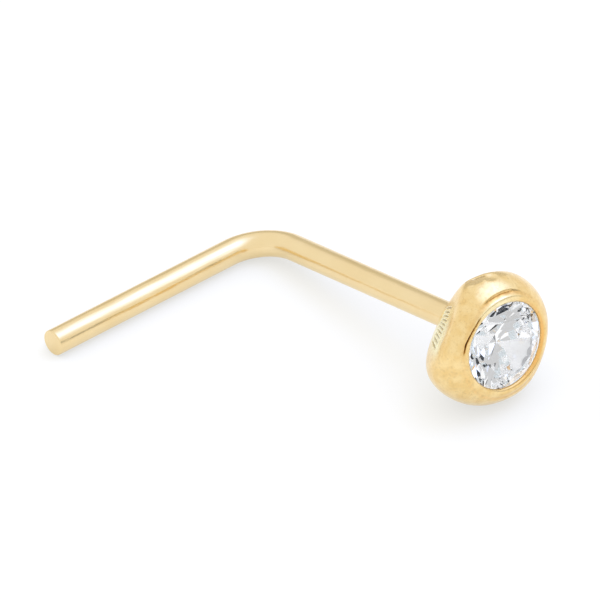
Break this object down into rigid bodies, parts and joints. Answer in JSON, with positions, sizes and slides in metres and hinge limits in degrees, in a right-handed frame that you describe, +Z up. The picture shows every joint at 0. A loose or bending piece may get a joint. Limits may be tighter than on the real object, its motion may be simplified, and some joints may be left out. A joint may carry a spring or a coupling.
{
  "type": "nose stud",
  "caption": "L-bent nose stud: a round clear stone in a rounded yellow metal bezel, soldered to a thin round wire post with a square bend, lying at rest.",
  "frame": {"origin": "middle of the footprint, on the surface the stud lies on", "axes": "+X from the bend towards the head along the length, +Y from the leg's cut end towards the bend, +Z up from the surface"},
  "size_m": [0.0092, 0.0082, 0.0032],
  "materials": {
    "yellow_gold": "polished pale yellow gold, slightly worn on the back shoulder",
    "clear_stone": "clear colourless stone with polished facets"
  },
  "bodies": {
    "root": {"bezel_and_post": "yellow_gold", "stone": "clear_stone"}
  },
  "joints": []
}
